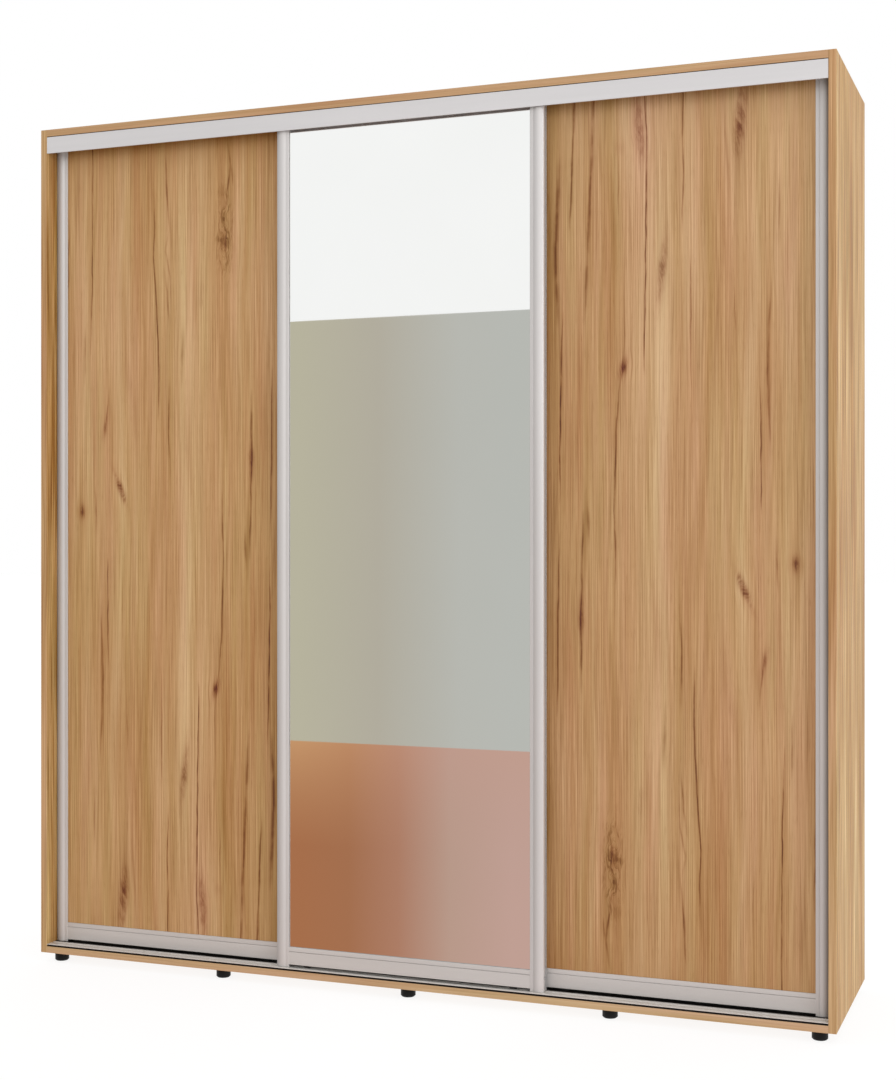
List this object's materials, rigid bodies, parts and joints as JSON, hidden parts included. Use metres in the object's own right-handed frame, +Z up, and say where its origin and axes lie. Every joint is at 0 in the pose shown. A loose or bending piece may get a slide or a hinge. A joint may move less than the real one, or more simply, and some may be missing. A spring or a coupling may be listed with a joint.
{
  "type": "sliding door wardrobe",
  "caption": "Tall oak-decor wardrobe with sliding doors in satin aluminium frames, a mirror door in the middle, and shelves and hanging rails inside.",
  "frame": {"origin": "on the floor under the middle of the body", "axes": "+X to the right seen from the front, +Y to the back, +Z up"},
  "size_m": [2.1, 0.505, 2.23],
  "materials": {
    "oak_board": "golden oak decor on laminated board, fine matt grain",
    "oak_door_board": "golden oak decor with knots and dark seams, satin",
    "hardboard": "smooth lacquered hardboard",
    "mirror_glass": "silvered clear glass",
    "anodised_aluminium": "satin silver anodised",
    "chrome_steel": "bright plated",
    "zinc_steel": "zinc plated",
    "black_plastic": "matt moulded",
    "white_nylon": "moulded nylon",
    "dark_nylon": "moulded nylon",
    "grey_pile": "short brush pile",
    "clear_gasket": "soft grey glazing seal"
  },
  "bodies": {
    "carcass": {"back_nails": "zinc_steel", "back_panel_centre": "hardboard", "back_panel_left": "hardboard", "back_panel_right": "hardboard", "base_panel": "oak_board", "bottom_track": "anodised_aluminium", "cam_fittings": "zinc_steel", "feet": "black_plastic", "hanging_rail_left": "chrome_steel", "hanging_rail_right": "chrome_steel", "partition_left": "oak_board", "partition_right": "oak_board", "rail_sockets": "chrome_steel", "shelf_centre_1": "oak_board", "shelf_centre_2": "oak_board", "shelf_centre_3": "oak_board", "shelf_centre_top": "oak_board", "shelf_left_top": "oak_board", "shelf_pins": "zinc_steel", "shelf_right_top": "oak_board", "side_panel_left": "oak_board", "side_panel_right": "oak_board", "top_panel": "oak_board", "top_track": "anodised_aluminium", "wood_screws": "zinc_steel"},
    "door_left": {"door_left_brush_seals": "grey_pile", "door_left_frame_screws": "zinc_steel", "door_left_guides": "white_nylon", "door_left_panel": "oak_door_board", "door_left_rail_bottom": "anodised_aluminium", "door_left_rail_top": "anodised_aluminium", "door_left_roller_brackets": "zinc_steel", "door_left_stile_left": "anodised_aluminium", "door_left_stile_right": "anodised_aluminium"},
    "door_centre": {"door_centre_brush_seals": "grey_pile", "door_centre_frame_screws": "zinc_steel", "door_centre_gasket": "clear_gasket", "door_centre_guides": "white_nylon", "door_centre_panel": "mirror_glass", "door_centre_rail_bottom": "anodised_aluminium", "door_centre_rail_top": "anodised_aluminium", "door_centre_roller_brackets": "zinc_steel", "door_centre_stile_left": "anodised_aluminium", "door_centre_stile_right": "anodised_aluminium"},
    "door_right": {"door_right_brush_seals": "grey_pile", "door_right_frame_screws": "zinc_steel", "door_right_guides": "white_nylon", "door_right_panel": "oak_door_board", "door_right_rail_bottom": "anodised_aluminium", "door_right_rail_top": "anodised_aluminium", "door_right_roller_brackets": "zinc_steel", "door_right_stile_left": "anodised_aluminium", "door_right_stile_right": "anodised_aluminium"},
    "door_left_wheel_left": {"door_left_wheel_left": "dark_nylon"},
    "door_left_wheel_right": {"door_left_wheel_right": "dark_nylon"},
    "door_centre_wheel_left": {"door_centre_wheel_left": "dark_nylon"},
    "door_centre_wheel_right": {"door_centre_wheel_right": "dark_nylon"},
    "door_right_wheel_left": {"door_right_wheel_left": "dark_nylon"},
    "door_right_wheel_right": {"door_right_wheel_right": "dark_nylon"}
  },
  "joints": [
    {"name": "door_left_slide", "type": "slide", "parent": "carcass", "child": "door_left", "axis": [1, 0, 0], "range_m": [0, 0.32]},
    {"name": "door_centre_slide", "type": "slide", "parent": "carcass", "child": "door_centre", "axis": [1, 0, 0], "range_m": [-0.68, 0.672]},
    {"name": "door_right_slide", "type": "slide", "parent": "carcass", "child": "door_right", "axis": [1, 0, 0], "range_m": [-0.32, 0]},
    {"name": "door_left_wheel_left_spin", "type": "hinge", "parent": "door_left", "child": "door_left_wheel_left", "pos_m": [-0.951, -0.1945, 0.0595], "axis": [0, 1, 0], "continuous": true},
    {"name": "door_left_wheel_right_spin", "type": "hinge", "parent": "door_left", "child": "door_left_wheel_right", "pos_m": [-0.401, -0.1945, 0.0595], "axis": [0, 1, 0], "continuous": true},
    {"name": "door_centre_wheel_left_spin", "type": "hinge", "parent": "door_centre", "child": "door_centre_wheel_left", "pos_m": [-0.271, -0.2275, 0.0595], "axis": [0, 1, 0], "continuous": true},
    {"name": "door_centre_wheel_right_spin", "type": "hinge", "parent": "door_centre", "child": "door_centre_wheel_right", "pos_m": [0.279, -0.2275, 0.0595], "axis": [0, 1, 0], "continuous": true},
    {"name": "door_right_wheel_left_spin", "type": "hinge", "parent": "door_right", "child": "door_right_wheel_left", "pos_m": [0.401, -0.1945, 0.0595], "axis": [0, 1, 0], "continuous": true},
    {"name": "door_right_wheel_right_spin", "type": "hinge", "parent": "door_right", "child": "door_right_wheel_right", "pos_m": [0.951, -0.1945, 0.0595], "axis": [0, 1, 0], "continuous": true}
  ],
  "couplings": [
    {"joint": "door_left_wheel_left_spin", "follows": "door_left_slide", "rad_per_m": 71.429},
    {"joint": "door_left_wheel_right_spin", "follows": "door_left_slide", "rad_per_m": 71.429},
    {"joint": "door_centre_wheel_left_spin", "follows": "door_centre_slide", "rad_per_m": 71.429},
    {"joint": "door_centre_wheel_right_spin", "follows": "door_centre_slide", "rad_per_m": 71.429},
    {"joint": "door_right_wheel_left_spin", "follows": "door_right_slide", "rad_per_m": 71.429},
    {"joint": "door_right_wheel_right_spin", "follows": "door_right_slide", "rad_per_m": 71.429}
  ]
}
